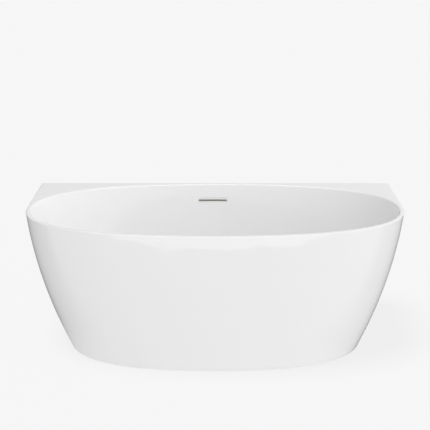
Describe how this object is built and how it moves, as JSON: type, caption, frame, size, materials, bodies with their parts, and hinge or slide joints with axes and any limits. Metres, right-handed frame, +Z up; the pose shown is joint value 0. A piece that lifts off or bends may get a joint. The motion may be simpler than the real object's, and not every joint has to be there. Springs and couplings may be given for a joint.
{
  "type": "freestanding back-to-wall bathtub",
  "caption": "Oval bath in a tapered skirt with a straight back for a wall, on a steel cradle with levelling legs, sprung plug, slot overflow and swivelling trap.",
  "frame": {"origin": "on the floor, under the middle of the bath's outline", "axes": "+X along the bath's length, +Y towards the wall behind it, +Z up"},
  "size_m": [1.6, 0.75, 0.6],
  "materials": {
    "acrylic": "gloss",
    "fibreglass": "rough laid-up glass and resin",
    "mdf": "raw board",
    "plywood": "raw",
    "galvanised_steel": "galvanised",
    "zinc_plated_steel": "bright zinc",
    "black_nylon": "satin",
    "chrome": "polished",
    "brass": "turned",
    "white_polypropylene": "satin",
    "grey_hose": "satin, corrugated",
    "black_rubber": "matt"
  },
  "bodies": {
    "bath": {"base_board": "mdf", "bath_shell": "acrylic", "block_screws": "zinc_plated_steel", "board_screws": "zinc_plated_steel", "clip_screw": "zinc_plated_steel", "cross_rail_left": "galvanised_steel", "cross_rail_right": "galvanised_steel", "deck_corner_left": "plywood", "deck_corner_right": "plywood", "edge_batten_left": "plywood", "edge_batten_right": "plywood", "end_block_left_front": "plywood", "end_block_left_rear": "plywood", "end_block_right_front": "plywood", "end_block_right_rear": "plywood", "front_block_left": "plywood", "front_block_right": "plywood", "hose_clip": "white_polypropylene", "hose_nut_lower": "white_polypropylene", "hose_nut_upper": "white_polypropylene", "lock_nuts": "zinc_plated_steel", "long_rail_front": "galvanised_steel", "long_rail_rear": "galvanised_steel", "outer_skirt": "acrylic", "overflow_box": "white_polypropylene", "overflow_gasket": "black_rubber", "overflow_hose": "grey_hose", "plug_cartridge": "brass", "plug_spring": "zinc_plated_steel", "rail_caps": "black_nylon", "shell_backing": "fibreglass", "slot_trim": "white_polypropylene", "trap_union_nut": "white_polypropylene", "waste_body": "white_polypropylene", "waste_flange": "chrome", "waste_seal_lower": "black_rubber", "waste_seal_upper": "black_rubber", "weld_nuts": "zinc_plated_steel"},
    "plug": {"plug_cap": "chrome", "plug_seal": "black_rubber", "plug_stem": "brass"},
    "trap": {"trap_body": "white_polypropylene", "trap_outlet_nut": "white_polypropylene", "trap_outlet_seal": "black_rubber", "outlet_pipe": "white_polypropylene"},
    "leg_front_left": {"leg_stud_front_left": "zinc_plated_steel", "leg_pad_front_left": "black_nylon"},
    "leg_front_right": {"leg_stud_front_right": "zinc_plated_steel", "leg_pad_front_right": "black_nylon"},
    "leg_front_middle": {"leg_stud_front_middle": "zinc_plated_steel", "leg_pad_front_middle": "black_nylon"},
    "leg_rear_left": {"leg_stud_rear_left": "zinc_plated_steel", "leg_pad_rear_left": "black_nylon"},
    "leg_rear_right": {"leg_stud_rear_right": "zinc_plated_steel", "leg_pad_rear_right": "black_nylon"}
  },
  "joints": [
    {"name": "plug_slide", "type": "slide", "parent": "bath", "child": "plug", "axis": [0, 0, 1], "range_m": [0, 0.009], "deforming": ["plug_spring"]},
    {"name": "trap_swivel", "type": "hinge", "parent": "bath", "child": "trap", "pos_m": [0, 0, 0.06], "axis": [0, 0, 1], "range_deg": [-35, 35]},
    {"name": "level_front_left", "type": "slide", "parent": "bath", "child": "leg_front_left", "axis": [0, 0, -1], "range_m": [-0.01, 0.01]},
    {"name": "level_front_right", "type": "slide", "parent": "bath", "child": "leg_front_right", "axis": [0, 0, -1], "range_m": [-0.01, 0.01]},
    {"name": "level_front_middle", "type": "slide", "parent": "bath", "child": "leg_front_middle", "axis": [0, 0, -1], "range_m": [-0.01, 0.01]},
    {"name": "level_rear_left", "type": "slide", "parent": "bath", "child": "leg_rear_left", "axis": [0, 0, -1], "range_m": [-0.01, 0.01]},
    {"name": "level_rear_right", "type": "slide", "parent": "bath", "child": "leg_rear_right", "axis": [0, 0, -1], "range_m": [-0.01, 0.01]}
  ]
}
